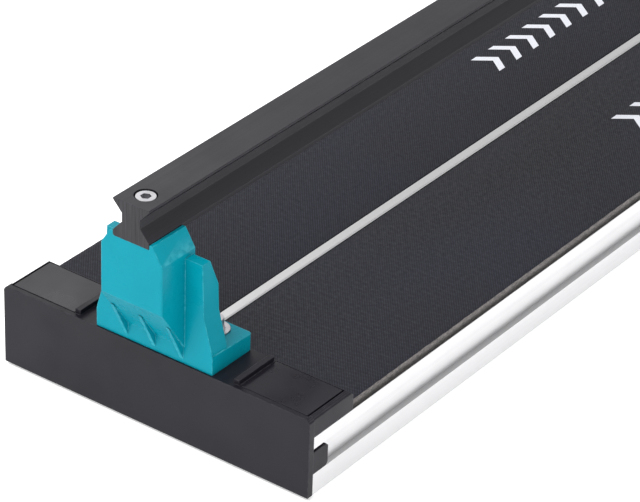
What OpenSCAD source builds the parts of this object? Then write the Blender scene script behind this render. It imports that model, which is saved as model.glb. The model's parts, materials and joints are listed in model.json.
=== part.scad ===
// Single-rail manual tile cutter. X runs along the cut, Y across it, Z is up.
// The origin is on the surface the cutter stands on, under the middle of the base.
// Parts of one end are drawn in an end frame: X = 0 at the outer face of the
// end cap, Z = 0 at the underside of the cap.

/* [Base] */
// Length over the outer faces of the two end caps
base_l = 1100; // [1000:10:1300]
// Width over the end caps
cap_w = 243; // [241:1:246]
// Height of an end cap
cap_h = 57; // [56:0.5:57]
// Length of the top of an end cap along the cut
cap_l = 40.5; // [40:0.5:41.5]
// Width of the aluminium deck
deck_w = 240.6; // [238:0.2:240.6]
// Height of the deck above the underside of the caps
deck_h = 41; // [40:0.5:41]
// Thickness of the rubber mats
mat_t = 7; // [5:0.5:7]
// Width of the breaking ridge between the mats
ridge_w = 7.7; // [7:0.1:8]
// How far the rubber feet stand below the caps
foot_proud = 2; // [1:0.5:3]

/* [Rail] */
// Width of the rail over its flanges
rail_w = 28; // [27:0.2:28.2]
// Width of the rail at its waist
rail_waist = 14; // [12:0.5:14]
// Height of the rail
rail_h = 26.6; // [26:0.2:27]
// Height of the underside of the rail above the underside of the caps
rail_seat = 145; // [145:0.5:146]
// How far the rail stands out past each end cap
rail_over = 21; // [18:1:24]

/* [Bracket] */
// Half width of the bracket block under the rail
block_y = 24; // [23:0.5:24]
// Half width of the bracket foot
bracket_foot_y = 45.8; // [45:0.2:50]
// Thickness of the bracket foot at its front
bracket_foot_t = 13.6; // [13:0.1:14.5]

/* [Carriage] */
// Distance of the parked carriage from the outer face of the far cap
park_gap = 140; // [138:1:160]
// Half length of the carriage housing
housing_x = 55; // [54:1:56]
// Distance of the roller axles from the middle of the carriage
axle_x = 38; // [36:1:39]
// Radius of the V rollers at the rim
roller_r = 13; // [12.5:0.1:13]

/* [Lever] */
// Height of the lever pivot below the underside of the rail
pivot_drop = 23; // [22:0.5:24]
// Slope of the handle above level when the lever is down
handle_tilt = 12; // [8:1:20]
// Length of the handle tube from the top of the fork
handle_l = 322; // [280:1:380]
// Radius of the handle tube
tube_r = 11; // [10:0.5:11]
// Radius of the scoring wheel
wheel_r = 11; // [9:0.5:11]

/* [Fence] */
// Distance of the middle of the fence from the outer face of the far cap
fence_gap = 68; // [66:1:72]
// Height of the fence above the mats
fence_h = 16; // [15:0.5:18]
// Side position of the sliding stop
stop_y = -84; // [-90:1:-60]
// Length of the swinging guide arm
arm_l = 150; // [100:5:180]

/* [Hidden] */
$fn = 48;

teal = "#12a3b4";
black = "#3a3a40";
silver = "#dcdcde";
steel = "#b4b6ba";
rubber = "#26262a";

big = 400;                 // longer than any cut across the base
gap = 0.3;                 // clearance between parts that move past each other
fit = 0.05;                // radial running clearance
plate_t = 5;               // thickness of the cap's outer plate
deck_t = 3;                // thickness of the deck
deck_x = plate_t + 1.2;    // where the extrusion starts, from the cap face
slot_z = [14, 32.5];       // side slot of the extrusion, lowest and highest
slot_d = 4;                // depth of the side slot
side_z0 = -1.2;            // underside of the extrusion from the cap's
beam_y = 47.5;             // half width of the centre beam of the extrusion
box_y = 100;               // inner face of the side boxes of the extrusion
groove_y = 3.05;           // half width of the ridge groove in the deck
groove_d = 2.5;            // depth of the ridge groove
ridge_top = deck_h + mat_t + 0.6;
cap_back = cap_l + 4.6;    // where the sloping back of the cap ends, from the cap face
cap_slope = 4.2;           // drop of the sloping back
mat_x = cap_back + 0.4;    // where the mats start, from the cap face
cover_t = 2.4;             // thickness of a cap cover plate
cover_y = [65.6, 117.8];   // recess of a cap cover plate, from the middle
cover_gap = 0.5;           // groove in front of and inside a cap cover plate
cover_groove = 0.8;        // groove behind a cap cover plate
cover_rim = 0.4;           // rim behind that groove
cover_side = 1.2;          // groove outside a cap cover plate
rib_y = [61, 65];          // rib beside the bracket foot
rib_h = 3.5;
cap_screw_y = [80, 105];
cap_screw_x = 22;
bolt_x = 30;               // bolts that hold the bracket foot down
bolt_y = 26;
m6_r = 3;
m6_head_r = 5;
m6_head_h = 6;
m6_hole_r = 3.3;
washer_r = 9;
washer_h = 1.6;
m8_r = 4;
m8_head_r = 6.5;
m8_head_h = 8;
m8_hole_r = 4.3;
rail_screw_in = -6.9;      // rail screw from the cap face, inwards positive
rubber_foot_x = 75;        // rubber foot from the cap face
rubber_foot_y = 109;
rubber_foot_r = 9;
block_x = [-20.8, 11];     // bracket block from the cap face
block_z0 = 101.8;          // lowest front edge of the block
block_corner = 1.2;        // radius of the upright front edges of the block
shoulder_z = 135.8;        // where the block starts to narrow
seat_wall = 3;             // height of the walls beside the rail
bracket_front = 1.4;       // front face of the foot and the wings
wing_x = 16.2;             // back of the wings
wing_top = 132.5;
foot_back = 41.3;          // back of the bracket foot
foot_fall = 2;             // how much thinner the foot is at its back
bolt_seat = cap_h + bracket_foot_t - foot_fall;

rail_z = foot_proud + rail_seat;
rail_top = rail_z + rail_h;
mat_top = foot_proud + deck_h + mat_t;
carriage_x = base_l / 2 - park_gap;
roller_z = rail_z + 15;    // middle height of the rollers
roller_y = rail_waist / 2 + gap + 0.1 + roller_r;
bearing_r = 6.5;
bearing_w = 5;
axle_r = 3;
bush_r = 5;               // eccentric bushes of the axles on the right side
shelf_z = [rail_z - 13, rail_z - 3];
plate_z = [rail_top + 2.6, rail_top + 14.4];
cheek_y = [34.2, 39];
pivot_z = rail_z - pivot_drop;
pivot_r = 5;
fork_y = [40, 46.5];
fork_top = [-12, 112];     // top of the fork from the pivot, X and Z
yoke_at = [6, -36];        // screws of the tool yoke from the pivot
wheel_at = [47.3, -36.9];  // wheel axle from the pivot
foot_at = [-24, -56];      // breaker foot pin from the pivot
fence_x = base_l / 2 - fence_gap;
fence_w = 20;
fence_l = 238;
fence_z = mat_top;
slot_half = 3.2;           // half width of the mouth of the fence slot
arm_x = fence_x - fence_w / 2 - 12.5;
arm_w = 22;
arm_h = 10;
arm_z = fence_z + gap;

// Extrudes a Y-Z outline along X, starting at x = 0
module bar_x(l) { rotate([90, 0, 90]) linear_extrude(l) children(); }

// Extrudes an X-Z outline along Y, centred on y = 0
module slab_y(w) { rotate([90, 0, 0]) linear_extrude(w, center = true) children(); }

// Round bar along Y, centred on y = 0, at [x, z]
module rod_y(at, r, l) {
    translate([at[0], 0, at[1]]) rotate([90, 0, 0]) cylinder(h = l, r = r, center = true);
}

// Same shape on the left and on the right
module both_sides() {
    children();
    mirror([0, 1, 0]) children();
}

module near_end() { translate([-base_l / 2, 0, foot_proud]) children(); }
module far_end() { mirror([1, 0, 0]) near_end() children(); }
module both_ends() {
    near_end() children();
    far_end() children();
}
module at_carriage() { translate([carriage_x, 0, 0]) children(); }
module at_pivot() { translate([carriage_x, 0, pivot_z]) children(); }

// Frame along the handle: Z runs from the top of the fork to the grip
module along_handle() {
    at_pivot()
        translate([fork_top[0], 0, fork_top[1]])
            rotate([0, handle_tilt - 90, 0])
                children();
}

// Two circles joined by their outer tangents
module link(a, ra, b, rb) {
    d = b - a;
    way = atan2(d[1], d[0]);
    side = acos((ra - rb) / norm(d));
    translate(a) circle(ra);
    translate(b) circle(rb);
    polygon([
        a + ra * [cos(way + side), sin(way + side)],
        a + ra * [cos(way - side), sin(way - side)],
        b + rb * [cos(way - side), sin(way - side)],
        b + rb * [cos(way + side), sin(way + side)]
    ]);
}

// Upright cap screw: head above z = 0, shank below
module cap_screw(r, head_r, head_h, l, key) {
    difference() {
        union() {
            cylinder(h = head_h, r = head_r);
            translate([0, 0, -l]) cylinder(h = l, r = r);
        }
        translate([0, 0, head_h * 0.45]) cylinder(h = head_h, r = key / sqrt(3), $fn = 6);
    }
}

// ---- base ----

module base_profile() {
    half = deck_w / 2;
    wall = 2.5;
    slot_back = half - slot_d;
    difference() {
        translate([-half, side_z0]) square([deck_w, deck_h - side_z0]);
        both_halves() {
            translate([beam_y, side_z0 - 1])
                square([box_y - beam_y, deck_h - deck_t - side_z0 + 1]);
            translate([wall / 2, side_z0 + wall])
                square([beam_y - wall * 1.5, deck_h - deck_t - side_z0 - wall]);
            translate([box_y + wall, side_z0 + wall])
                square([slot_back - box_y - wall * 2, deck_h - deck_t - side_z0 - wall]);
            translate([slot_back, slot_z[0]]) square([slot_d + 1, slot_z[1] - slot_z[0]]);
            translate([slot_back - wall - 0.01, side_z0 + wall])
                square([slot_d, slot_z[0] - side_z0 - wall * 2]);
            translate([slot_back - wall - 0.01, slot_z[1] + wall])
                square([slot_d, deck_h - deck_t - slot_z[1] - wall]);
        }
    }
    translate([-6, deck_h - 8]) square([12, 8 - groove_d]);
}

// Same outline on both sides of the middle
module both_halves() {
    children();
    mirror([1, 0]) children();
}

module base_extrusion() {
    color(silver)
        difference() {
            translate([-base_l / 2 + deck_x, 0, foot_proud])
                bar_x(base_l - 2 * deck_x)
                    difference() {
                        base_profile();
                        translate([-groove_y, deck_h - groove_d]) square([2 * groove_y, groove_d + 1]);
                    }
            both_ends() both_sides() {
                translate([bolt_x, bolt_y, deck_h - 5]) cylinder(h = 10, r = m6_hole_r);
                for (y = cap_screw_y)
                    translate([cap_screw_x, y, deck_h - 5]) cylinder(h = 10, r = 2.5 + fit);
                translate([rubber_foot_x, rubber_foot_y, side_z0 - 1]) cylinder(h = 6, r = 3 + fit);
            }
            far_end() both_sides()
                translate([fence_gap, 106, deck_h - 5]) cylinder(h = 10, r = 2.5 + fit);
        }
}

module mat() {
    y0 = ridge_w / 2 + 0.6;
    difference() {
        translate([-base_l / 2 + mat_x, y0, foot_proud + deck_h])
            cube([base_l - 2 * mat_x, deck_w / 2 - 0.3 - y0, mat_t]);
        far_end() translate([fence_gap, 106, deck_h - 1]) cylinder(h = 10, r = 2.8);
    }
}
module mat_left() { color(black) mat(); }
module mat_right() { color(black) mirror([0, 1, 0]) mat(); }

module breaking_ridge() {
    half = ridge_w / 2;
    foot = groove_y - fit;
    color(silver)
        translate([-base_l / 2 + mat_x, 0, foot_proud])
            bar_x(base_l - 2 * mat_x)
                polygon([
                    [-foot, deck_h - groove_d], [foot, deck_h - groove_d],
                    [foot, deck_h], [half, deck_h],
                    [half, ridge_top - 0.7], [half - 0.7, ridge_top],
                    [0.7 - half, ridge_top], [-half, ridge_top - 0.7],
                    [-half, deck_h], [-foot, deck_h]
                ]);
}

// Rectangle with its two free corners cut off
module tab_outline(l, h, corner) {
    polygon([[0, 0], [l - corner, 0], [l, corner], [l, h - corner], [l - corner, h], [0, h]]);
}

// One side of the cap's top edge, stepped down towards the outside
function cap_rim(half) = [
    [half, cap_h - 2.7], [half - 0.9, cap_h - 1.9], [half - 0.9, cap_h - 1.4],
    [half - 1.8, cap_h - 0.9], [half - 1.8, cap_h - 0.5], [half - 2.6, cap_h]
];

module cap_section(half, z0) {
    right = concat([[half, z0]], cap_rim(half));
    left = [for (i = [len(right) - 1:-1:0]) [-right[i][0], right[i][1]]];
    polygon(concat(right, left));
}

module end_cap() {
    inner = cap_w / 2 - 0.7;
    cheek_in = 118.5;          // inner side of the cheeks
    cheek_lift = 1.2;          // gap under the cheeks
    skin = 4;
    difference() {
        union() {
            bar_x(plate_t) cap_section(cap_w / 2, 0);
            intersection() {
                bar_x(cap_back) cap_section(inner, deck_h);
                slab_y(2 * cap_w)
                    polygon([
                        [0, deck_h], [cap_back, deck_h], [cap_back, cap_h - cap_slope],
                        [cap_l, cap_h], [0, cap_h]
                    ]);
            }
            both_sides() {
                translate([3.5, rib_y[0], cap_h - 1])
                    cube([cap_l - 5.5, rib_y[1] - rib_y[0], rib_h + 1]);
                translate([plate_t - 1, deck_w / 2 - slot_d / 2 + 0.2, slot_z[0] + 0.2])
                    slab_y(slot_d) tab_outline(17, slot_z[1] - slot_z[0] - 2.4, 1.8);
                translate([plate_t - 1, beam_y + 2, deck_h - deck_t - 4.2])
                    cube([22, box_y - beam_y - 4, 4]);
            }
        }
        both_sides() {
            translate([3.4, cover_y[0], cap_h - 2.2])
                cube([cap_l - cover_rim - 3.4, cover_y[1] - cover_y[0], 5]);
            translate([plate_t, cheek_in, deck_h - 1]) cube([cap_back, 5, 1 + cheek_lift]);
            translate([bolt_x, bolt_y, deck_h - 1]) cylinder(h = 20, r = m6_hole_r);
            for (y = cap_screw_y) translate([cap_screw_x, y, deck_h + 4]) {
                translate([0, 0, -14]) cylinder(h = 30, r = 2.8);
                cylinder(h = 20, r = 5.5);
            }
            translate([0, 0, deck_h - 1])
                linear_extrude(cap_h - deck_h - skin + 1)
                    difference() {
                        translate([plate_t, cover_y[0] + 1.5])
                            square([cap_l - plate_t - 3, inner - cover_y[0] - 5.5]);
                        for (y = cap_screw_y) translate([cap_screw_x, y]) circle(8);
                    }
            translate([0, 0, deck_h - 1])
                linear_extrude(cap_h - deck_h - skin + 1)
                    difference() {
                        translate([plate_t, 1.5]) square([cap_l - plate_t - 3, rib_y[0] - 1.5]);
                        translate([bolt_x, bolt_y]) circle(9);
                    }
        }
    }
}
module end_cap_near() { color(black) near_end() end_cap(); }
module end_cap_far() { color(black) far_end() end_cap(); }

module cap_cover() {
    translate([3.4 + cover_gap, cover_y[0] + cover_gap, cap_h - 2.2])
        cube([
            cap_l - cover_rim - cover_groove - 3.4 - cover_gap,
            cover_y[1] - cover_side - cover_y[0] - cover_gap, cover_t
        ]);
}
module cap_cover_near_left() { color(black) near_end() cap_cover(); }
module cap_cover_near_right() { color(black) near_end() mirror([0, 1, 0]) cap_cover(); }
module cap_cover_far_left() { color(black) far_end() cap_cover(); }
module cap_cover_far_right() { color(black) far_end() mirror([0, 1, 0]) cap_cover(); }

module cap_screws() {
    color(steel)
        both_ends() both_sides() for (y = cap_screw_y)
            translate([cap_screw_x, y, deck_h + 4]) cap_screw(2.5, 4.5, 3.5, 10, 3);
}

module rubber_feet() {
    color(rubber)
        both_ends() both_sides()
            translate([rubber_foot_x, rubber_foot_y, -foot_proud]) {
                cylinder(h = foot_proud + side_z0, r = rubber_foot_r);
                cylinder(h = foot_proud + side_z0 + 3.5, r = 3);
            }
}

// ---- rail and brackets ----

module rail_outline() {
    half = rail_w / 2;
    waist = rail_waist / 2;
    right = [
        [half - 1, 0], [half, 1], [half, 4], [waist, 12], [waist, 18],
        [half, rail_h - 1.2], [half, rail_h - 0.4], [half - 0.4, rail_h]
    ];
    left = [for (i = [len(right) - 1:-1:0]) [-right[i][0], right[i][1]]];
    polygon(concat(right, left));
}

module guide_rail() {
    color(black)
        difference() {
            translate([-base_l / 2 - rail_over, 0, rail_z])
                bar_x(base_l + 2 * rail_over) rail_outline();
            both_ends() translate([rail_screw_in, 0, rail_seat]) {
                translate([0, 0, -1]) cylinder(h = rail_h + 2, r = m8_hole_r);
                translate([0, 0, rail_h - m8_head_h - 0.6]) cylinder(h = 20, r = 7.5);
            }
        }
}

module bracket_wing() {
    foot_top = cap_h + bracket_foot_t;
    root = foot_top - 4;
    intersection() {
        translate([bracket_front, 0, 0])
            bar_x(wing_x - bracket_front)
                polygon([
                    [block_y - 4, root], [45.3, root], [45.3, foot_top + 1.6],
                    [38.8, 95.1], [37.3, wing_top], [block_y - 4, wing_top]
                ]);
        slab_y(200)
            polygon([
                [bracket_front, root], [wing_x, root], [wing_x, 113.5],
                [8.8, wing_top], [bracket_front, wing_top]
            ]);
    }
}

// Foot of the bracket: thinner towards its back, with round back corners
module bracket_foot() {
    r = 3;
    side = bracket_foot_y - r;
    intersection() {
        slab_y(2 * bracket_foot_y)
            polygon([
                [bracket_front, cap_h], [foot_back, cap_h],
                [foot_back, bolt_seat], [bracket_front, cap_h + bracket_foot_t]
            ]);
        linear_extrude(rail_seat) {
            translate([0, -bracket_foot_y]) square([foot_back - r, 2 * bracket_foot_y]);
            translate([0, -side]) square([foot_back, 2 * side]);
            for (y = [-side, side]) translate([foot_back - r, y]) circle(r);
        }
    }
}

// Plan of the bracket block, with rounded front corners
module block_plan() {
    x0 = block_x[0];
    side = block_y - block_corner;
    translate([x0, -side]) square([block_x[1] - x0, 2 * side]);
    translate([x0 + block_corner, -block_y]) square([block_x[1] - x0 - block_corner, 2 * block_y]);
    for (y = [-side, side]) translate([x0 + block_corner, y]) circle(block_corner);
}

module rail_bracket() {
    depth = block_x[1] - block_x[0];
    difference() {
        union() {
            bracket_foot();
            intersection() {
                union() {
                    slab_y(2 * block_y)
                        polygon([
                            [block_x[0], block_z0], [bracket_front, 69], [bracket_front, cap_h],
                            [block_x[1], cap_h], [block_x[1], shoulder_z], [block_x[0], shoulder_z]
                        ]);
                    translate([block_x[0], 0, 0])
                        bar_x(depth)
                            polygon([
                                [-block_y, shoulder_z], [block_y, shoulder_z],
                                [16.4, rail_seat + seat_wall], [-16.4, rail_seat + seat_wall]
                            ]);
                }
                translate([0, 0, cap_h]) linear_extrude(rail_seat) block_plan();
            }
            for (y = [-21.8, 0, 21.8])
                translate([0, y, 0]) slab_y(2.5)
                    polygon([[-12.8, 89], [3, cap_h], [3, 70]]);
            both_sides() bracket_wing();
        }
        translate([block_x[0] - 1, -rail_w / 2 - 0.1, rail_seat])
            cube([depth + 2, rail_w + 0.2, 20]);
        both_sides() {
            translate([bolt_x, bolt_y, cap_h - 1]) cylinder(h = 40, r = m6_hole_r);
            translate([bolt_x, bolt_y, bolt_seat]) cylinder(h = 5, r = washer_r + 0.3);
            translate([5, 1.6, cap_h + bracket_foot_t + 5]) cube([20, 17, 44]);
        }
        translate([rail_screw_in, 0, rail_seat - 28]) cylinder(h = 60, r = m8_r + fit);
    }
}
module rail_bracket_near() { color(teal) near_end() rail_bracket(); }
module rail_bracket_far() { color(teal) far_end() rail_bracket(); }

module rail_screws() {
    color(steel)
        both_ends()
            translate([rail_screw_in, 0, rail_seat + rail_h - m8_head_h - 0.6])
                cap_screw(m8_r, m8_head_r, m8_head_h, 40, 6);
}

module bracket_bolts() {
    color(steel)
        both_ends() both_sides()
            translate([bolt_x, bolt_y, bolt_seat + 2 * washer_h])
                cap_screw(m6_r, m6_head_r, m6_head_h, 45, 5);
}

// Flat washer with a spring washer on it
module bracket_washers() {
    color(steel)
        both_ends() both_sides()
            translate([bolt_x, bolt_y, bolt_seat])
                difference() {
                    union() {
                        cylinder(h = washer_h, r = washer_r);
                        cylinder(h = 2 * washer_h, r = m6_head_r + 0.6);
                    }
                    translate([0, 0, -1]) cylinder(h = 6, r = m6_r + 0.2);
                }
}

module bracket_nuts() {
    nut_h = 5;
    color(steel)
        both_ends() both_sides()
            translate([bolt_x, bolt_y, deck_h - deck_t - nut_h])
                difference() {
                    cylinder(h = nut_h, r = 5.77, $fn = 6);
                    translate([0, 0, -1]) cylinder(h = 9, r = m6_r + fit);
                }
}

// ---- fence ----

module fence_bar() {
    color(silver)
        difference() {
            translate([fence_x - fence_w / 2, -fence_l / 2, fence_z])
                cube([fence_w, fence_l, fence_h]);
            translate([fence_x - slot_half, -big, fence_z + 8]) cube([2 * slot_half, 2 * big, fence_h]);
            translate([fence_x - 5.5, -big, fence_z + 8]) cube([11, 2 * big, fence_h - 10.5]);
            translate([fence_x - big, -5, fence_z - 1]) cube([2 * big, 10, 2]);
            both_sides() translate([fence_x, 106, fence_z - 1]) cylinder(h = 20, r = 2.8);
        }
}

module fence_scale() {
    color("white")
        translate([fence_x - fence_w / 2 + 0.5, -fence_l / 2 + 1, fence_z + fence_h])
            cube([6, fence_l - 2, 0.5]);
}

module fence_screws() {
    color(steel)
        both_sides() translate([fence_x, 106, fence_z + 8]) cap_screw(2.5, 4.5, 3, 20, 3);
}

module stop_slider() {
    top = fence_z + fence_h + 0.8;
    nose = fence_x - arm_x + 11;
    color(teal)
        difference() {
            union() {
                translate([fence_x - nose, stop_y - 15, top]) cube([nose + 13, 30, 8]);
                translate([fence_x + fence_w / 2 + gap, stop_y - 15, fence_z + 6])
                    cube([13 - fence_w / 2 - gap, 30, top - fence_z]);
                translate([arm_x, stop_y, arm_z + arm_h + gap])
                    cylinder(h = top - arm_z - arm_h, r = 8);
            }
            translate([fence_x, stop_y, top - 1]) cylinder(h = 20, r = 3 + fit);
            translate([arm_x, stop_y, fence_z]) cylinder(h = 60, r = 3 + fit);
            both_nose_corners(nose, top);
        }
}

module both_nose_corners(nose, top) {
    for (s = [-1, 1])
        translate([fence_x - nose, stop_y + s * 15, top - 1])
            rotate([0, 0, 45]) cube([9, 9, 40], center = true);
}

module stop_nut() {
    color(steel)
        difference() {
            translate([fence_x - 5.2, stop_y - 8, fence_z + 8.3]) cube([10.4, 16, 4.6]);
            translate([fence_x, stop_y, fence_z]) cylinder(h = 30, r = 3 + fit);
        }
}

module stop_stud() {
    color(steel)
        translate([fence_x, stop_y, fence_z + 8.6])
            cylinder(h = fence_h + 14, r = 3);
}

module stop_knob() {
    bottom = fence_z + fence_h + 0.8 + 8 + gap;
    color(black)
        translate([fence_x, stop_y, bottom])
            difference() {
                union() {
                    cylinder(h = 6, r = 7);
                    translate([0, 0, 5]) linear_extrude(13) {
                        circle(10.5);
                        for (a = [0:60:300]) rotate(a) translate([9.5, 0]) circle(3.4);
                    }
                }
                translate([0, 0, -1]) cylinder(h = 15, r = 3 + 0.02);
            }
}

module guide_arm() {
    color(silver)
        translate([arm_x, stop_y, arm_z])
            difference() {
                union() {
                    cylinder(h = arm_h, r = arm_w / 2);
                    translate([-arm_l, -arm_w / 2, 0]) cube([arm_l, arm_w, arm_h]);
                }
                translate([0, 0, -1]) cylinder(h = 20, r = 3 + fit);
                translate([-arm_l - 1, -arm_w / 2 + 3, 3]) cube([arm_l - 18, arm_w - 6, arm_h]);
            }
}

module arm_pin() {
    color(steel)
        translate([arm_x, stop_y, arm_z + 1]) {
            cylinder(h = fence_h + 8.8 - 1 - gap, r = 3);
            translate([0, 0, fence_h + 8.8 - 1 - gap]) cylinder(h = 2.5, r = 5.5);
        }
}

// ---- carriage ----

module housing_outline(y, z0, z1, corner) {
    polygon([
        [-y, z0], [y, z0], [y, z1 - corner], [y - corner, z1],
        [corner - y, z1], [-y, z1 - corner]
    ]);
}

module carriage_housing() {
    ear = 12;
    color(teal)
        at_carriage()
            difference() {
                union() {
                    translate([-housing_x, 0, 0])
                        bar_x(2 * housing_x) housing_outline(cheek_y[1], shelf_z[0], plate_z[1], 8);
                    both_sides() translate([0, cheek_y[1] - ear / 2, 0]) slab_y(ear)
                        pivot_ear();
                }
                translate([-big, 0, 0])
                    bar_x(2 * big) housing_outline(cheek_y[0], shelf_z[1], plate_z[0], 4);
                rod_y([0, pivot_z], pivot_r + fit, 100);
                both_sides() for (x = [-axle_x, axle_x]) {
                    translate([x, big / 2, roller_z])
                        cube([24, big - 40, 20], center = true);
                }
                for (x = [-axle_x, axle_x]) {
                    translate([x, roller_y, 0]) cylinder(h = big, r = axle_r + fit);
                    translate([x, -roller_y, 0]) cylinder(h = big, r = bush_r + fit);
                }
                both_sides() {
                    for (p = stop_points()) rod_y_at(p, 3 + fit, 60);
                }
                for (x = [-20, 20])
                    translate([x, 0, plate_z[1] - 8]) cylinder(h = 20, r = 2 + fit);
            }
}

module pivot_ear() {
    translate([0, pivot_z]) circle(14);
    translate([-14, pivot_z]) square([28, shelf_z[0] - pivot_z + 1]);
    polygon([
        [-28, shelf_z[0] + 1], [-28, shelf_z[0]], [-14, pivot_z + 2],
        [14, pivot_z + 2], [28, shelf_z[0]], [28, shelf_z[0] + 1]
    ]);
}

// Where the fork arms stop, lever down and lever up, in X and Z from the pivot
function stop_points() =
    let (reach = 38, away = 17.1, down = 90 + atan(-fork_top[0] / fork_top[1]),
         up = down - 42)
    [reach * [cos(down), sin(down)] + away * [cos(down + 90), sin(down + 90)],
     reach * [cos(up), sin(up)] + away * [cos(up - 90), sin(up - 90)]];

// Pin hole through one cheek, at [x, z] from the pivot
module rod_y_at(p, r, l) {
    translate([p[0], l / 2 + 30, pivot_z + p[1]]) rotate([90, 0, 0]) cylinder(h = l, r = r, center = true);
}

module lever_stops() {
    color(rubber)
        at_carriage() both_sides() for (p = stop_points())
            translate([p[0], 0, pivot_z + p[1]]) rotate([-90, 0, 0]) {
                translate([0, 0, cheek_y[0]]) cylinder(h = 11.5, r = 3);
                translate([0, 0, cheek_y[1]]) cylinder(h = 6.7, r = 4);
            }
}

module carriage_cover() {
    l = 2 * housing_x - 8;
    z = plate_z[1];
    color(black)
        at_carriage()
            difference() {
                translate([-l / 2, 0, 0])
                    bar_x(l) polygon([[-31, z], [31, z], [31, z + 5], [26, z + 11], [-26, z + 11], [-31, z + 5]]);
                translate([-l / 2 + 2.5, 0, 0])
                    bar_x(l - 5) polygon([
                        [-28.5, z - 1], [28.5, z - 1], [28.5, z + 4],
                        [24.5, z + 8.5], [-24.5, z + 8.5], [-28.5, z + 4]
                    ]);
                for (x = [-20, 20]) translate([x, 0, z]) cylinder(h = 20, r = 2.3);
            }
}

module cover_screws() {
    color(steel)
        at_carriage() for (x = [-20, 20])
            translate([x, 0, plate_z[1] + 11]) cap_screw(2, 3.5, 2.2, 17, 2.5);
}

module rail_wipers() {
    color(rubber)
        at_carriage() for (x = [-housing_x - 3, housing_x])
            translate([x, 0, 0]) bar_x(3)
                difference() {
                    housing_outline(cheek_y[0] + 2.5, shelf_z[0] + 2, plate_z[1] - 2, 7);
                    translate([0, rail_z]) wiper_hole();
                }
}

module wiper_hole() {
    c = 0.5;
    half = rail_w / 2 + c;
    waist = rail_waist / 2 + c;
    right = [[half, -c], [half, 4.3], [waist, 12.4], [waist, 17.6], [half, rail_h - 1.5], [half, rail_h + c]];
    left = [for (i = [len(right) - 1:-1:0]) [-right[i][0], right[i][1]]];
    polygon(concat(right, left));
}

module at_rollers() {
    at_carriage() for (x = [-axle_x, axle_x]) both_sides() translate([x, roller_y, 0]) children();
}

module roller_axles() {
    color(steel)
        at_rollers() {
            translate([0, 0, shelf_z[0] - 7]) cylinder(h = plate_z[1] - shelf_z[0] + 8, r = axle_r);
            translate([0, 0, plate_z[1]]) cylinder(h = 5.5, r = 5.5);
        }
}

module axle_nuts() {
    color(steel)
        at_rollers() translate([0, 0, shelf_z[0] - 5.5])
            difference() {
                cylinder(h = 5.5, r = 5.77, $fn = 6);
                translate([0, 0, -1]) cylinder(h = 9, r = axle_r + fit);
            }
}

module roller_spacers() {
    color(steel)
        at_rollers()
            for (z = [[shelf_z[1], roller_z - bearing_w / 2], [roller_z + bearing_w / 2, plate_z[0]]])
                translate([0, 0, z[0] + 0.05])
                    difference() {
                        cylinder(h = z[1] - z[0] - 0.2, r = axle_r + 1.2);
                        translate([0, 0, -1]) cylinder(h = 40, r = axle_r + fit);
                    }
}

module eccentric_bushes() {
    color(steel)
        at_carriage() for (x = [-axle_x, axle_x], z = [shelf_z, plate_z])
            translate([x, -roller_y, z[0]])
                difference() {
                    cylinder(h = z[1] - z[0], r = bush_r);
                    translate([0, 0, -1]) cylinder(h = 40, r = axle_r + fit);
                }
}

// One V roller: a rim with two sloping flanks, bored from below for the bearing
module roller(x, side) {
    rim = 2.5;
    half = 7.6;
    hub = roller_r - 4.8;
    shoulder = bearing_r - 1.3;
    at_carriage()
        translate([x, side * roller_y, roller_z])
            rotate_extrude()
                polygon([
                    [bearing_r + 0.02, -half], [hub, -half], [roller_r, -rim],
                    [roller_r, rim], [hub, half], [shoulder, half],
                    [shoulder, bearing_w / 2], [bearing_r + 0.02, bearing_w / 2]
                ]);
}

// One ball bearing, drawn as its two rings and the shield between them
module bearing(x, side) {
    half = bearing_w / 2;
    inner = axle_r + 1.3;
    outer = bearing_r - 1;
    at_carriage()
        translate([x, side * roller_y, roller_z])
            rotate_extrude()
                polygon([
                    [axle_r + fit, -half], [inner, -half], [inner, 0.3 - half],
                    [outer, 0.3 - half], [outer, -half], [bearing_r, -half],
                    [bearing_r, half], [outer, half], [outer, half - 0.3],
                    [inner, half - 0.3], [inner, half], [axle_r + fit, half]
                ]);
}

module roller_near_left() { color(steel) roller(-axle_x, 1); }
module roller_near_right() { color(steel) roller(-axle_x, -1); }
module roller_far_left() { color(steel) roller(axle_x, 1); }
module roller_far_right() { color(steel) roller(axle_x, -1); }
module bearing_near_left() { color(silver) bearing(-axle_x, 1); }
module bearing_near_right() { color(silver) bearing(-axle_x, -1); }
module bearing_far_left() { color(silver) bearing(axle_x, 1); }
module bearing_far_right() { color(silver) bearing(axle_x, -1); }

module pivot_pin() {
    color(steel) at_pivot() rod_y([0, 0], pivot_r, 2 * fork_y[1] + 7);
}

module pivot_washers() {
    color(rubber)
        at_pivot() both_sides() translate([0, cheek_y[1] + 0.1, 0]) rotate([-90, 0, 0])
            difference() {
                cylinder(h = fork_y[0] - cheek_y[1] - gap, r = 9);
                translate([0, 0, -1]) cylinder(h = 4, r = pivot_r + fit);
            }
}

module pivot_clips() {
    color(steel)
        at_pivot() both_sides() translate([0, fork_y[1] + gap + 0.2, 0]) rotate([-90, 0, 0])
            difference() {
                cylinder(h = 1.5, r = 8);
                translate([0, 0, -1]) cylinder(h = 4, r = pivot_r + 0.02);
            }
}

// ---- lever ----

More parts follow.
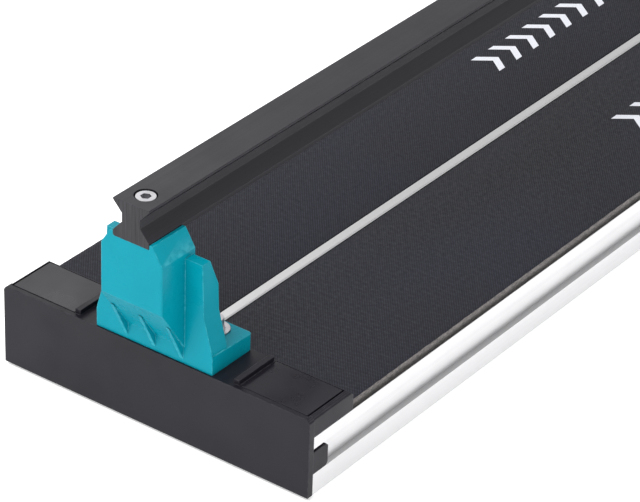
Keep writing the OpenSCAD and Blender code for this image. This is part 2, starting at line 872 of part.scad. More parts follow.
module lever_fork() {
    arm_t = fork_y[1] - fork_y[0];
    color(silver)
        difference() {
            union() {
                at_pivot() both_sides() translate([0, fork_y[0] + arm_t / 2, 0]) slab_y(arm_t) {
                    link([0, 0], 13, fork_top, 12);
                    link([0, 0], 13, yoke_at, 10);
                }
                at_pivot() rod_y(fork_top, 12, 2 * fork_y[0] + 2);
                along_handle() cylinder(h = 46, r = 15.5);
            }
            at_pivot() rod_y([0, 0], 7 + fit, 200);
            at_pivot() rod_y(yoke_at, 3 + fit, 200);
            along_handle() translate([0, 0, 4]) cylinder(h = 60, r = tube_r + fit);
            along_handle() translate([0, 0, 34]) rotate([0, 90, 0]) cylinder(h = 30, r = 2.5 + fit);
        }
}

module fork_bushes() {
    color("#c9a24a")
        at_pivot() both_sides() translate([0, fork_y[0], 0]) rotate([-90, 0, 0])
            difference() {
                cylinder(h = fork_y[1] - fork_y[0], r = 7);
                translate([0, 0, -1]) cylinder(h = 20, r = pivot_r + fit);
            }
}

module tool_yoke() {
    color(steel)
        at_pivot()
            difference() {
                union() {
                    rod_y(yoke_at, 10, 2 * fork_y[0] - 0.2);
                    slab_y(16) link(yoke_at, 10, wheel_at, 7.5);
                    slab_y(12) link(yoke_at, 9, foot_at, 6.5);
                }
                rod_y(wheel_at, wheel_r + 2, 3.8);
                rod_y(wheel_at, 3 + 0.02, 40);
                rod_y(foot_at, 3 + 0.02, 40);
                both_sides() translate([0, fork_y[0] - 18, 0])
                    rod_y_from(yoke_at, 3 + fit, 30);
            }
}

// Bore along +Y that starts at y = 0
module rod_y_from(at, r, l) {
    translate([at[0], 0, at[1]]) rotate([-90, 0, 0]) cylinder(h = l, r = r);
}

module yoke_screws() {
    color(steel)
        at_pivot() both_sides() translate([yoke_at[0], fork_y[1], yoke_at[1]])
            rotate([-90, 0, 0]) cap_screw(3, 5, 4, 22, 5);
}

module handle_tube() {
    color(steel)
        along_handle()
            difference() {
                translate([0, 0, 4.2]) cylinder(h = handle_l - 4.2, r = tube_r);
                translate([0, 0, -1]) cylinder(h = handle_l + 10, r = tube_r - 2);
                translate([0, 0, 34]) rotate([0, 90, 0]) cylinder(h = 30, r = 2.5 + fit);
            }
}

// Soft grip: a swelling sleeve with a collar at each end, closed at the tip
module handle_grip() {
    start = handle_l - 128;
    tip = handle_l + 6;
    bore = tube_r + 0.02;
    color(rubber)
        along_handle() rotate_extrude()
            polygon([
                [bore, start], [16.5, start], [17.5, start + 3], [16, start + 8],
                [15, start + 22], [16.2, start + 60], [15.2, start + 104],
                [17.8, start + 120], [17.5, tip - 4], [13, tip], [0, tip],
                [0, handle_l + 0.1], [bore, handle_l + 0.1]
            ]);
}

module handle_screw() {
    color(steel)
        along_handle() translate([15.5, 0, 34]) rotate([0, 90, 0])
            cap_screw(2.5, 4.2, 4, 7, 4);
}

module wheel_axle() {
    color(steel)
        at_pivot() {
            rod_y(wheel_at, 3, 18);
            both_sides() translate([0, 8, 0]) rod_y_from(wheel_at, 4.6, 1.8);
        }
}

module foot_pin() {
    color(steel)
        at_pivot() {
            rod_y(foot_at, 3, 25);
            both_sides() translate([0, 11.3, 0]) rod_y_from(foot_at, 4.6, 1.6);
        }
}

module scoring_wheel() {
    color(steel)
        at_pivot() translate([wheel_at[0], 0, wheel_at[1]]) rotate([90, 0, 0])
            rotate_extrude()
                polygon([
                    [3 + fit, -1.5], [5.5, -1.5], [5.5, -1.1], [wheel_r - 1.4, -1.1],
                    [wheel_r, 0], [wheel_r - 1.4, 1.1], [5.5, 1.1], [5.5, 1.5], [3 + fit, 1.5]
                ]);
}

module breaker_foot() {
    color(steel)
        at_pivot() translate([foot_at[0], 0, foot_at[1]])
            difference() {
                union() {
                    translate([-15, 0, 0]) bar_x(30)
                        polygon([
                            [-35, -11.5], [0, -10.6], [35, -11.5],
                            [35, -8.5], [0, -7.6], [-35, -8.5]
                        ]);
                    both_sides() translate([0, 8.9, 0]) slab_y(3.8) {
                        circle(6.5);
                        polygon([[-12, -8.6], [12, -8.6], [6.4, 1], [-6.4, 1]]);
                    }
                }
                rod_y([0, 0], 3 + fit, 60);
            }
}

module foot_pads() {
    color(rubber)
        at_pivot() translate([foot_at[0] - 15, 0, foot_at[1]])
            both_sides() bar_x(30)
                polygon([[22, -11.17], [35, -11.5], [35, -13.3], [22, -13.3]]);
}

base_extrusion();
mat_left();
mat_right();
breaking_ridge();
end_cap_near();
end_cap_far();
cap_cover_near_left();
cap_cover_near_right();
cap_cover_far_left();
cap_cover_far_right();
cap_screws();
guide_rail();
rail_bracket_near();
rail_bracket_far();
rail_screws();
bracket_bolts();
bracket_washers();
bracket_nuts();
rubber_feet();
fence_bar();
fence_scale();
fence_screws();
carriage_housing();
carriage_cover();
cover_screws();
rail_wipers();
roller_axles();
roller_spacers();
axle_nuts();
eccentric_bushes();
lever_stops();
pivot_pin();
pivot_washers();
pivot_clips();
roller_near_left();
roller_near_right();
roller_far_left();
roller_far_right();
bearing_near_left();
bearing_near_right();
bearing_far_left();
bearing_far_right();
lever_fork();
fork_bushes();
tool_yoke();
yoke_screws();
handle_tube();
handle_grip();
handle_screw();
wheel_axle();
foot_pin();
scoring_wheel();
breaker_foot();
foot_pads();
stop_slider();
stop_nut();
stop_knob();
stop_stud();
guide_arm();
arm_pin();
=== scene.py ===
"""Looks of the single-rail tile cutter: materials, bevels, mats, printing, ruler, grip and studio."""

import json
import math

import bmesh
import bpy
from mathutils import Matrix, Vector, noise


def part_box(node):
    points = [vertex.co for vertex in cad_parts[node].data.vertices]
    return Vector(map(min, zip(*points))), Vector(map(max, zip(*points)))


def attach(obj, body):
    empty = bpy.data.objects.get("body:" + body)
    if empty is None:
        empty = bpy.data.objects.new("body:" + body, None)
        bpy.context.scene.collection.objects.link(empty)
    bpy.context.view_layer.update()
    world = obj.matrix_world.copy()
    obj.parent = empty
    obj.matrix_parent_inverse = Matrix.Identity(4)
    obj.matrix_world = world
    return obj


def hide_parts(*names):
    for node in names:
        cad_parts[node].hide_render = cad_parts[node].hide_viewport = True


MM = 0.001

# The lever, as in the CAD model
FORK_TOP = (-12 * MM, 112 * MM)   # top of the fork from the lever's pivot, X and Z
HANDLE_TILT = 12                  # rise of the handle in degrees
HANDLE_L = 322 * MM               # from the fork's top to the end of the handle tube

# The camera stands behind the user's end, to the right, and looks down along the cutter
CAMERA_AT = (-1.9343, -1.1236, 1.2150)
CAMERA_RIGHT = (0.5991, -0.8001, 0.0290)
CAMERA_UP = (0.4005, 0.3308, 0.8545)
CAMERA_LENS = 193.7               # focal length in millimetres, on a 36 mm sensor

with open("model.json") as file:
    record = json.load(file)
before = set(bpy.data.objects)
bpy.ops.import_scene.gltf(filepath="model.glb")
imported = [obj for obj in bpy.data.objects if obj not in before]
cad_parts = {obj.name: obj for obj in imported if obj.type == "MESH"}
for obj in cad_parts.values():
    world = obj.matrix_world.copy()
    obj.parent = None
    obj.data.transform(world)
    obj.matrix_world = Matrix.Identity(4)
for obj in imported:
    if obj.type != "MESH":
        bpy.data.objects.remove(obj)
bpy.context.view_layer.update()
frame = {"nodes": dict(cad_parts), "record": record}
nodes = frame["nodes"]


# ---- node materials ----

class Shader:
    """A Principled material with small helpers for its procedural nodes."""

    def __init__(self, name):
        self.material = bpy.data.materials.new(name)
        self.material.use_nodes = True
        self.tree = self.material.node_tree
        self.bsdf = self.tree.nodes["Principled BSDF"]
        self.coords = self.node("ShaderNodeTexCoord").outputs["Object"]

    def node(self, kind, **settings):
        n = self.tree.nodes.new(kind)
        for key, value in settings.items():
            setattr(n, key, value)
        return n

    def link(self, out, into):
        self.tree.links.new(out, into)

    def value(self, **sockets):
        """Sets plain values on the shader. An underscore stands for a space in a socket's name."""
        for name, value in sockets.items():
            self.bsdf.inputs[name.replace("_", " ")].default_value = value
        return self

    def scaled(self, scale):
        """Object coordinates in metres, stretched by a factor along each axis."""
        n = self.node("ShaderNodeMapping")
        n.inputs["Scale"].default_value = scale
        self.link(self.coords, n.inputs["Vector"])
        return n.outputs["Vector"]

    def noise(self, scale, detail=4.0, stretch=(1, 1, 1), roughness=0.55):
        n = self.node("ShaderNodeTexNoise")
        n.inputs["Scale"].default_value = scale
        n.inputs["Detail"].default_value = detail
        n.inputs["Roughness"].default_value = roughness
        self.link(self.scaled(stretch), n.inputs["Vector"])
        return n.outputs["Fac"]

    def ramp(self, fac, low, high, start=0.3, end=0.7):
        """low where fac is start, high where it is end, and straight between them."""
        n = self.node("ShaderNodeMapRange")
        n.inputs["From Min"].default_value = start
        n.inputs["From Max"].default_value = end
        n.inputs["To Min"].default_value = low
        n.inputs["To Max"].default_value = high
        self.link(fac, n.inputs["Value"])
        return n.outputs["Result"]

    def blend(self, fac, a, b):
        """Colour between a and b. Each is an RGB tuple or an output."""
        n = self.node("ShaderNodeMix", data_type="RGBA")   # its colours are inputs 6 and 7
        for socket, colour in ((n.inputs[6], a), (n.inputs[7], b)):
            if isinstance(colour, tuple):
                socket.default_value = (*colour, 1)
            else:
                self.link(colour, socket)
        self.link(fac, n.inputs[0])
        return n.outputs[2]

    def crossfade(self, fac, a, b):
        """Number between the outputs a and b."""
        n = self.node("ShaderNodeMix", data_type="FLOAT")  # its numbers are inputs 2 and 3
        for socket, out in ((n.inputs[0], fac), (n.inputs[2], a), (n.inputs[3], b)):
            self.link(out, socket)
        return n.outputs[0]

    def split(self, out):
        """X, Y and Z of a vector as three outputs."""
        n = self.node("ShaderNodeSeparateXYZ")
        self.link(out, n.inputs[0])
        return n.outputs

    def math(self, operation, a, b=0.0):
        n = self.node("ShaderNodeMath", operation=operation)
        for socket, value in ((n.inputs[0], a), (n.inputs[1], b)):
            if isinstance(value, (int, float)):
                socket.default_value = value
            else:
                self.link(value, socket)
        return n.outputs[0]

    def colour(self, out):
        self.link(out, self.bsdf.inputs["Base Color"])
        return self

    def rough(self, out):
        self.link(out, self.bsdf.inputs["Roughness"])
        return self

    def bump(self, height, strength, distance):
        """Adds relief on top of the normal that the shader has so far."""
        n = self.node("ShaderNodeBump")
        n.inputs["Strength"].default_value = strength
        n.inputs["Distance"].default_value = distance
        before = self.bsdf.inputs["Normal"].links
        if before:
            self.link(before[0].from_socket, n.inputs["Normal"])
        self.link(height, n.inputs["Height"])
        self.link(n.outputs["Normal"], self.bsdf.inputs["Normal"])
        return self

    def rounded(self, radius):
        """Normal of the surface as if its sharp edges had this radius in millimetres."""
        n = self.node("ShaderNodeBevel", samples=4)
        n.inputs["Radius"].default_value = radius * MM
        return n.outputs["Normal"]

    def round_edges(self, radius):
        self.link(self.rounded(radius), self.bsdf.inputs["Normal"])
        return self

    def crevice(self):
        """1 in the open and lower in inner corners: a mask for painted shade in recesses."""
        reach = 8 * MM
        darkest = 0.35
        shade = self.node("ShaderNodeAmbientOcclusion", samples=4, only_local=True)
        shade.inputs["Distance"].default_value = reach
        return self.ramp(shade.outputs["AO"], darkest, 1.0, 0.45, 0.97)

    def edge_wear(self):
        """0 on flats, towards 1 in broken patches along sharp edges: a mask for edge wear and for
        painted edge highlights.
        """
        wear_and_highlight_width = 0.9
        most = 0.9
        flat = self.node("ShaderNodeNewGeometry").outputs["True Normal"]
        dot = self.node("ShaderNodeVectorMath", operation="DOT_PRODUCT")
        self.link(self.rounded(wear_and_highlight_width), dot.inputs[0])
        self.link(flat, dot.inputs[1])
        edge = self.ramp(dot.outputs["Value"], most, 0.0, 0.80, 0.995)
        return self.math("MULTIPLY", edge, self.ramp(self.noise(240, 4), 0.15, 1.0, 0.4, 0.62))


def grey(level, tint):
    """A grey that leans to blue by the tint."""
    return (level * (1 - tint * 0.5), level * (1 - tint), level * (1 + tint))


def teal_paint():
    s = Shader("teal_paint").value(IOR=1.5, Specular_IOR_Level=0.09).round_edges(1.0)
    mottle = s.ramp(s.noise(35, 3), 0.0, 1.0)
    base = s.blend(mottle, (0.0, 0.264, 0.342), (0.0, 0.284, 0.368))
    # The lighter teal along the edges is partly wear and partly a painted highlight.
    s.colour(s.blend(s.edge_wear(), base, (0.12, 0.66, 0.76)))
    s.rough(s.ramp(s.noise(60, 4), 0.24, 0.34))
    return s.bump(s.noise(900, 2), 0.10, 0.05 * MM).bump(s.noise(60, 2), 0.10, 0.2 * MM).material


def moulded_black():
    s = Shader("moulded_black").value(IOR=1.5, Specular_IOR_Level=0.24).round_edges(0.7)
    base = s.blend(s.ramp(s.noise(12, 3), 0, 1), grey(0.0082, 0.24), grey(0.0118, 0.26))
    s.colour(s.blend(s.edge_wear(), base, grey(0.075, 0.1)))
    s.rough(s.ramp(s.noise(45, 4), 0.36, 0.5))
    return s.bump(s.noise(2600, 2), 0.25, 0.05 * MM).material


def cover_black():
    s = Shader("cover_black").value(IOR=1.5, Specular_IOR_Level=0.30)
    base = s.blend(s.ramp(s.noise(14, 3), 0, 1), grey(0.0105, 0.2), grey(0.0135, 0.22))
    s.colour(s.blend(s.edge_wear(), base, grey(0.045, 0.1)))
    s.rough(s.ramp(s.noise(40, 4), 0.26, 0.38))
    return s.bump(s.noise(3000, 2), 0.15, 0.05 * MM).material


def anodised_black():
    """Drawn lines along the rail, and upright saw marks on its ends."""
    s = Shader("anodised_black").value(IOR=1.5, Specular_IOR_Level=0.28).round_edges(0.4)
    facing = s.split(s.node("ShaderNodeTexCoord").outputs["Normal"])
    end = s.ramp(s.math("ABSOLUTE", facing["X"]), 0.0, 1.0, 0.75, 0.9)
    drawn = s.noise(420, 3, stretch=(0.006, 1, 1))
    sawn = s.noise(900, 3, stretch=(1, 1, 0.03))
    lines = s.crossfade(end, drawn, sawn)
    sides = s.blend(s.ramp(drawn, 0, 1), (0.0092, 0.0083, 0.0122), (0.0145, 0.0132, 0.0188))
    ends = s.blend(s.ramp(sawn, 0, 1, 0.35, 0.65), (0.008, 0.0075, 0.010), (0.034, 0.032, 0.038))
    base = s.blend(end, sides, ends)
    s.colour(s.blend(s.edge_wear(), base, (0.055, 0.052, 0.062)))
    s.rough(s.ramp(s.noise(30, 4), 0.30, 0.42))
    return s.bump(lines, 0.3, 0.06 * MM).material


def aluminium(name, level, grain, rough=(0.30, 0.42)):
    """Drawn along X, with painted shade in its recesses. level is its brightness, grain the fineness of
    its lines.
    """
    s = Shader(name).value(Metallic=1.0)
    drawn = s.noise(grain, 3, stretch=(0.006, 1, 1))
    clean = s.blend(s.ramp(drawn, 0, 1), grey(level * 0.95, 0.005), grey(level, 0.005))
    # Painted shade: the colour darkens towards half its level in recesses, such as the side slot and the
    # gap under the cap's cheek.
    s.colour(s.blend(s.crevice(), grey(level * 0.5, 0.01), clean))
    s.rough(s.ramp(s.noise(50, 4), *rough))
    return s.bump(drawn, 0.25, 0.04 * MM).material


def steel(name, level, roughness, grain=240):
    s = Shader(name).value(Metallic=1.0)
    turned = s.noise(grain, 3)
    s.colour(s.blend(s.ramp(turned, 0, 1), grey(level * 0.9, 0.02), grey(level, 0.02)))
    s.rough(s.ramp(s.noise(150, 3), roughness * 0.8, roughness * 1.25))
    return s.bump(turned, 0.15, 0.03 * MM).material


def cast_metal():
    s = Shader("cast_metal").value(Metallic=1.0)
    s.colour(s.blend(s.ramp(s.noise(90, 4), 0, 1), grey(0.46, 0.02), grey(0.56, 0.02)))
    s.rough(s.ramp(s.noise(300, 3), 0.42, 0.58))
    return s.bump(s.noise(1400, 3), 0.4, 0.08 * MM).material


def bronze():
    s = Shader("bronze").value(Metallic=1.0)
    s.colour(s.blend(s.ramp(s.noise(400, 3), 0, 1), (0.50, 0.33, 0.12), (0.62, 0.43, 0.18)))
    s.rough(s.ramp(s.noise(500, 2), 0.35, 0.5))
    return s.bump(s.noise(2500, 2), 0.3, 0.04 * MM).material


def black_rubber():
    s = Shader("black_rubber").value(IOR=1.5)
    s.colour(s.blend(s.ramp(s.noise(80, 4), 0, 1), grey(0.014, 0.05), grey(0.022, 0.05)))
    s.rough(s.ramp(s.noise(200, 3), 0.62, 0.8))
    return s.bump(s.noise(1800, 3), 0.4, 0.08 * MM).material


def grip_rubber():
    s = Shader("grip_rubber").value(IOR=1.5)
    s.colour(s.blend(s.ramp(s.noise(50, 4), 0, 1), (0.008, 0.30, 0.37), (0.012, 0.36, 0.44)))
    s.rough(s.ramp(s.noise(200, 3), 0.5, 0.66))
    return s.bump(s.noise(1500, 3), 0.35, 0.08 * MM).material


def mat_rubber():
    """Fine woven face: short raised dashes in rows, set half a pitch apart from row to row."""
    s = Shader("mat_rubber").value(IOR=1.5, Specular_IOR_Level=0.22)
    dash_pitch = 2.4 * MM
    row_pitch = 0.8 * dash_pitch
    place = s.split(s.coords)
    along = s.math("MULTIPLY", place["X"], 2 * math.pi / dash_pitch)
    across = s.math("MULTIPLY", place["Y"], 2 * math.pi / row_pitch)
    weave = s.math("MULTIPLY", s.math("SINE", along), s.math("SINE", across))
    uneven = s.ramp(s.noise(420, 2), 0.45, 1.0, 0.35, 0.65)
    dash = s.math("MULTIPLY", s.ramp(weave, 0, 0.8, 0.15, 0.95), uneven)
    tint = s.ramp(s.noise(7, 2), 0, 1, 0.35, 0.65)
    base = s.blend(tint, (0.0068, 0.0068, 0.0098), (0.0078, 0.0084, 0.0155))
    s.colour(s.blend(dash, base, (0.066, 0.069, 0.100)))
    s.rough(s.ramp(s.noise(300, 3), 0.50, 0.68))
    fine = s.noise(1500, 3)
    return s.bump(weave, 0.55, 0.22 * MM).bump(fine, 0.35, 0.1 * MM).material


def mat_edge(bottom, top):
    """Cut side of a mat: pale, brownish and fibrous above, and darkened by painted shade where it meets
    the deck.
    """
    s = Shader("mat_edge").value(IOR=1.5, Specular_IOR_Level=0.2)
    fibre = s.ramp(s.noise(1100, 5, stretch=(0.35, 1, 1), roughness=0.7), 0, 1, 0.32, 0.66)
    pale = s.blend(fibre, (0.075, 0.071, 0.071), (0.260, 0.243, 0.235))
    painted_shade = s.blend(fibre, (0.009, 0.008, 0.008), (0.060, 0.055, 0.052))
    wander = s.math("MULTIPLY", s.noise(30, 3), 1.2 * MM)
    height = s.math("ADD", s.split(s.coords)["Z"], wander)
    # Painted shade: the colour runs from the dark blend at the deck up to the pale one near the top.
    s.colour(s.blend(s.ramp(height, 0, 1, bottom + 2.6 * MM, top - 1.4 * MM), painted_shade, pale))
    s.rough(s.ramp(s.noise(500, 3), 0.7, 0.9))
    return s.bump(fibre, 0.8, 0.25 * MM).material


def print_white():
    s = Shader("print_white").value(IOR=1.5, Specular_IOR_Level=0.3)
    worn = s.ramp(s.noise(1500, 3), 0, 1, 0.25, 0.5)
    s.colour(s.blend(worn, (0.55, 0.56, 0.62), (0.80, 0.81, 0.87)))
    s.rough(s.ramp(s.noise(300, 2), 0.5, 0.65))
    return s.bump(s.noise(1400, 2), 0.3, 0.06 * MM).material


def ruler_paint():
    s = Shader("ruler_paint").value(IOR=1.5)
    s.colour(s.blend(s.ramp(s.noise(200, 3), 0, 1), (0.74, 0.73, 0.66), (0.82, 0.81, 0.74)))
    s.rough(s.ramp(s.noise(400, 2), 0.3, 0.42))
    return s.bump(s.noise(1200, 2), 0.1, 0.03 * MM).material


def ink():
    s = Shader("ink").value(IOR=1.5)
    s.colour(s.blend(s.ramp(s.noise(900, 2), 0, 1), (0.01, 0.01, 0.01), (0.03, 0.03, 0.03)))
    s.rough(s.ramp(s.noise(500, 2), 0.4, 0.55))
    return s.material


MATERIALS = {
    "teal_paint": teal_paint(),
    "black_plastic": moulded_black(),
    "cover": cover_black(),
    "rail_black": anodised_black(),
    "aluminium": aluminium("aluminium", 0.75, 260, (0.36, 0.48)),
    "ridge": aluminium("ridge_metal", 0.60, 520),
    "mat": mat_rubber(),
    "mat_edge": mat_edge(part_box("mat_left")[0][2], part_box("mat_left")[1][2]),
    "print": print_white(),
    "scale": ruler_paint(),
    "ink": ink(),
    "bright_screw": steel("bright_screw", 0.50, 0.34),
    "tool_steel": steel("tool_steel", 0.50, 0.32),
    "roller_steel": steel("roller_steel", 0.42, 0.28),
    "bearing_steel": steel("bearing_steel", 0.75, 0.18),
    "tube_chrome": steel("tube_chrome", 0.82, 0.1, 60),
    "fork_cast": cast_metal(),
    "bronze": bronze(),
    "rubber": black_rubber(),
    "grip": grip_rubber(),
}


def paint(obj, key):
    obj.data.materials.clear()
    obj.data.materials.append(MATERIALS[key])


# ---- CAD nodes: bevelled edges and materials ----

def add_modifier(obj, kind, **settings):
    m = obj.modifiers.new(kind.lower(), kind)
    for key, value in settings.items():
        setattr(m, key, value)
    return m


def soften(obj, width, segments, join):
    """Rounds a node's sharp edges by modifiers, and joins its flat faces first where join is set."""
    add_modifier(obj, "WELD", merge_threshold=0.004 * MM)
    if join:
        add_modifier(obj, "DECIMATE", decimate_type="DISSOLVE", angle_limit=math.radians(0.6))
    add_modifier(
        obj, "BEVEL", width=width * MM, segments=segments, limit_method="ANGLE",
        angle_limit=math.radians(32), miter_outer="MITER_ARC", harden_normals=True,
        use_clamp_overlap=True,
    )
    add_modifier(obj, "WEIGHTED_NORMAL", mode="FACE_AREA", weight=100, keep_sharp=True)
    for face in obj.data.polygons:
        face.use_smooth = True


SLOT_OF = {row["node"]: row["material_slot"] for row in frame["record"]["subparts"]}
SMALL_EDGE = 0.3   # edge radius in millimetres of nodes that EDGE doesn't list
EDGE = {
    "base_extrusion": 0.35, "breaking_ridge": 0.25,
    "end_cap_near": 0.5, "end_cap_far": 0.5,
    "guide_rail": 0.35, "rail_bracket_near": 0.9, "rail_bracket_far": 0.9,
    "carriage_housing": 1.2, "carriage_cover": 1.4, "rail_wipers": 0.5,
    "lever_fork": 1.4, "tool_yoke": 1.0, "breaker_foot": 0.5, "foot_pads": 0.4,
    "fence_bar": 0.4, "stop_slider": 1.2, "stop_knob": 0.8, "guide_arm": 0.6,
    "rubber_feet": 0.8, "lever_stops": 0.6,
}
EDGE.update({name: 0.35 for name in nodes if name.startswith("cap_cover")})

for name, obj in nodes.items():
    paint(obj, "cover" if name.startswith("cap_cover") else SLOT_OF[name])
    segments = 3 if name in EDGE else 2
    soften(obj, EDGE.get(name, SMALL_EDGE), segments, join="end_cap" not in name)


# ---- pieces made here: mats, printing, ruler marks and grip ----

def piece(name, bm, body, slot, *keys):
    """Turns a bmesh into a piece with these materials that rides on a body."""
    bmesh.ops.recalc_face_normals(bm, faces=bm.faces)
    mesh = bpy.data.meshes.new(name)
    bm.to_mesh(mesh)
    bm.free()
    obj = bpy.data.objects.new(name, mesh)
    bpy.context.scene.collection.objects.link(obj)
    for key in keys:
        mesh.materials.append(MATERIALS[key])
    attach(obj, body)
    return obj


def loft(bm, rings, second=()):
    """Skins rings of points and closes the ends. The strips in second get the second material."""
    made = [[bm.verts.new(p) for p in ring] for ring in rings]
    count = len(rings[0])
    for a, b in zip(made, made[1:]):
        for i in range(count):
            j = (i + 1) % count
            face = bm.faces.new((a[i], a[j], b[j], b[i]))
            face.smooth = True
            face.material_index = 1 if i in second else 0
    bm.faces.new(made[0])
    bm.faces.new(list(reversed(made[-1])))


def rough_mat(node):
    """A mat with softly rounded top edges and a cut outer side that wanders a little."""
    low, high = (Vector(c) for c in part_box(node))
    side = 1 if high.y > 0 else -1
    inner, outer = sorted((abs(low.y), abs(high.y)))
    r = 0.5 * MM             # radius of the top edges
    shelf = 4 * MM           # outer strip of the top that sags towards the cut
    cut_wander = 0.32 * MM
    cut_sag = 0.12 * MM
    ring_step = 2.5 * MM
    length = high.x - low.x
    steps = int(length / ring_step)
    rings = []
    for i in range(steps + 1):
        x = low.x + length * i / steps
        near = Vector((x * 160, side * 3.0, 0))
        wander = [cut_wander * (1 + noise.noise(near + Vector((0, 0, k * 7.3)))) for k in range(4)]
        sag = cut_sag * (1 + noise.noise(near * 0.4))
        section = [
            (inner, low.z),
            (inner, high.z - r),
            (inner + 0.3 * r, high.z - 0.3 * r),
            (inner + r, high.z),
            (outer - shelf, high.z),
            (outer - r - wander[0], high.z - 0.4 * sag),
            (outer - 0.3 * r - wander[0], high.z - sag - 0.2 * r),
            (outer - wander[1], high.z - sag - r),
            (outer - wander[2], (low.z + high.z) / 2),
            (outer - wander[3], low.z),
        ]
        rings.append([(x, side * y, z) for y, z in section])
    bm = bmesh.new()
    loft(bm, rings, second=(6, 7, 8))
    obj = piece(node + "_woven", bm, "base", "mat", "mat", "mat_edge")
    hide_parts(node)


def prism(bm, outline, z0, z1):
    """A flat plate from an outline of (x, y) points."""
    loft(bm, [[(x, y, z0) for x, y in outline], [(x, y, z1) for x, y in outline]])


def mat_print(node, reach, centre):
    """A row of plain arrowheads along the cut, from -reach to reach in X, centred at a place in Y."""
    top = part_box(node)[1][2]
    bm = bmesh.new()
    count = 9
    half = 12.5 * MM
    stroke = 7 * MM
    depth = 10 * MM
    sunk = 0.1 * MM
    proud = 0.05 * MM
    pitch = (2 * reach - stroke - depth) / (count - 1)
    outline = [
        (0, half), (stroke, half), (stroke + depth, 0),
        (stroke, -half), (0, -half), (depth, 0),
    ]
    for i in range(count):
        x = i * pitch - reach
        prism(bm, [(x + px, centre + py) for px, py in outline], top - sunk, top + proud)
    piece(node + "_print", bm, "base", "mat", "print")


def add_number(bm, text, x, y, z):
    """Adds raised digits that are read from the user's end."""
    font = bpy.data.curves.new("digits", "FONT")
    font.body = text
    font.size = 2.6 * MM
    font.align_x = "CENTER"
    font.extrude = 0.03 * MM
    holder = bpy.data.objects.new("digits", font)
    bpy.context.scene.collection.objects.link(holder)
    bpy.context.view_layer.update()
    mesh = bpy.data.meshes.new_from_object(holder.evaluated_get(bpy.context.evaluated_depsgraph_get()))
    mesh.transform(Matrix(((0, 1, 0, x), (-1, 0, 0, y), (0, 0, 1, z), (0, 0, 0, 1))))
    bm.from_mesh(mesh)
    bpy.data.objects.remove(holder)
    bpy.data.curves.remove(font)
    bpy.data.meshes.remove(mesh)


def ruler_marks():
    """Marks every 5 mm and numbers in centimetres every 20 mm, from the middle of the fence."""
    low, high = (Vector(c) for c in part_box("fence_scale"))
    bm = bmesh.new()
    start = low.x + 0.3 * MM
    half = 0.12 * MM         # of a mark's width
    for i in range(-23, 24):
        y = i * 5 * MM
        end = start + (3.0 if i % 4 == 0 else 2.3 if i % 2 == 0 else 1.5) * MM
        outline = [(start, y - half), (end, y - half), (end, y + half), (start, y + half)]
        prism(bm, outline, high.z - 0.1 * MM, high.z + 0.04 * MM)
    for i in range(-5, 6):
        add_number(bm, str(abs(2 * i)), low.x + 3.6 * MM, i * 20 * MM, high.z)
    piece("ruler_marks", bm, "base", "scale", "ink")


def ribbed_grip():
    """Grip with grooves between its swells, turned about the axis of the handle tube."""
    pivot = next(j for j in frame["record"]["behaviour"]["joints"] if j["name"] == "lever_lift")["pos_m"]
    start = Vector((pivot[0] + FORK_TOP[0], 0, pivot[2] + FORK_TOP[1]))
    tilt = math.radians(HANDLE_TILT)
    axis = Vector((-math.cos(tilt), 0, math.sin(tilt)))
    side = Vector((0, 1, 0))
    up = axis.cross(side)
    grip_start = HANDLE_L - 128 * MM
    profile = [   # place along the grip and radius there, in millimetres
        (0, 14.0), (0.6, 15.8), (2, 17.3), (4, 17.3), (7, 16.0), (22, 15.0), (60, 16.1),
        (104, 15.1), (119, 17.6), (127, 17.6), (131, 16.2), (133.2, 13.2), (133.9, 9.0), (134, 4.0),
    ]
    grip_l = profile[-1][0]
    swell_from, swell_to = 4, 127      # the outline is curved between these, and straight past them
    groove_from, groove_to = 14, 112
    groove_pitch = 7.0
    groove_depth = 0.75
    land = 0.55                        # height on the wave above which a groove is cut
    rings_per_mm = 4
    around = 72

    def radius_at(at):
        a, b = next(pair for pair in zip(profile, profile[1:]) if at <= pair[1][0])
        t = (at - a[0]) / (b[0] - a[0])
        if swell_from < at < swell_to:
            t = t * t * (3 - 2 * t)
        radius = a[1] + (b[1] - a[1]) * t
        if groove_from < at < groove_to:
            wave = math.cos(2 * math.pi * (at - groove_from) / groove_pitch)
            radius -= groove_depth * max(0.0, wave - land) / (1 - land)
        return radius

    rings = []
    for i in range(grip_l * rings_per_mm + 1):
        at = i / rings_per_mm
        centre = start + axis * (grip_start + at * MM)
        turns = [2 * math.pi * k / around for k in range(around)]
        rings.append([
            centre + (side * math.cos(turn) + up * math.sin(turn)) * radius_at(at) * MM for turn in turns
        ])
    bm = bmesh.new()
    loft(bm, rings)
    obj = piece("ribbed_grip", bm, "lever", "rubber", "grip")
    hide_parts("handle_grip")


for node in ("mat_left", "mat_right"):
    rough_mat(node)
mat_print("mat_left", 96 * MM, 62.5 * MM)
mat_print("mat_right", 104 * MM, -62.5 * MM)
ruler_marks()
ribbed_grip()


# ---- studio ----

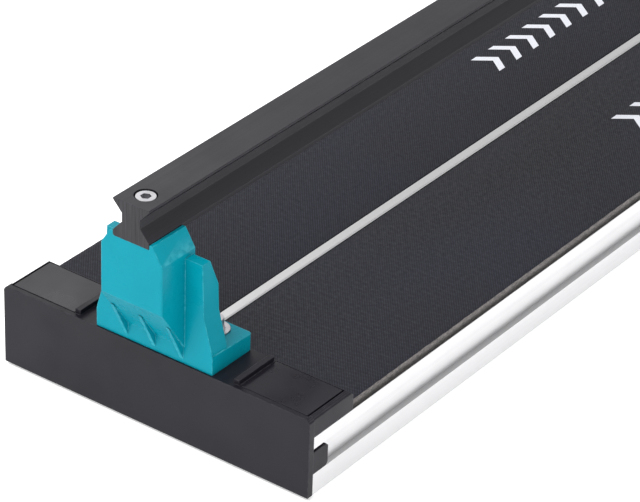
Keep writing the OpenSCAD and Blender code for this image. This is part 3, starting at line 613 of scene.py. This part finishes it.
def emitter(name, at, aim, size, power):
    """A square lamp."""
    data = bpy.data.lights.new(name, "AREA")
    data.size = size
    data.energy = power
    lamp = bpy.data.objects.new(name, data)
    lamp.location = at
    lamp.rotation_euler = (Vector(aim) - Vector(at)).to_track_quat("-Z", "Y").to_euler()
    bpy.context.scene.collection.objects.link(lamp)


def floor():
    """A wide white floor that glows a little, to come close to the white background."""
    mesh = bpy.data.meshes.new("floor")
    half = 30.0
    mesh.from_pydata(
        [(-half, -half, 0), (half, -half, 0), (half, half, 0), (-half, half, 0)], [], [(0, 1, 2, 3)]
    )
    obj = bpy.data.objects.new("floor", mesh)
    bpy.context.scene.collection.objects.link(obj)
    s = Shader("floor_paint").value(Roughness=0.9, IOR=1.3)
    s.value(Emission_Strength=0.38, Emission_Color=(1, 1, 1, 1))
    s.colour(s.blend(s.ramp(s.noise(3, 2), 0, 1), (0.93, 0.93, 0.935), (0.95, 0.95, 0.955)))
    mesh.materials.append(s.material)


def studio():
    world = bpy.data.worlds.new("studio")
    world.use_nodes = True
    back = world.node_tree.nodes["Background"]
    back.inputs["Color"].default_value = (1, 1, 1, 1)
    back.inputs["Strength"].default_value = 0.90
    bpy.context.scene.world = world
    emitter("key", at=(-2.1, 0.7, 3.0), aim=(-0.3, 0, 0.1), size=1.6, power=58)
    emitter("far_box", at=(0.75, 1.55, 1.35), aim=(-0.5, 0.0, 0.1), size=0.9, power=3.2)
    bpy.context.scene.view_settings.view_transform = "Standard"


def camera():
    data = bpy.data.cameras.new("camera")
    data.sensor_width = 36.0
    data.lens = CAMERA_LENS
    data.clip_start = 0.05
    data.clip_end = 100.0
    cam = bpy.data.objects.new("camera", data)
    cam.location = CAMERA_AT
    right = Vector(CAMERA_RIGHT)
    up = Vector(CAMERA_UP)
    back = right.cross(up)
    cam.rotation_mode = "QUATERNION"
    cam.rotation_quaternion = Matrix((right, up, back)).transposed().to_quaternion()
    bpy.context.scene.collection.objects.link(cam)
    bpy.context.scene.camera = cam


floor()
studio()
camera()
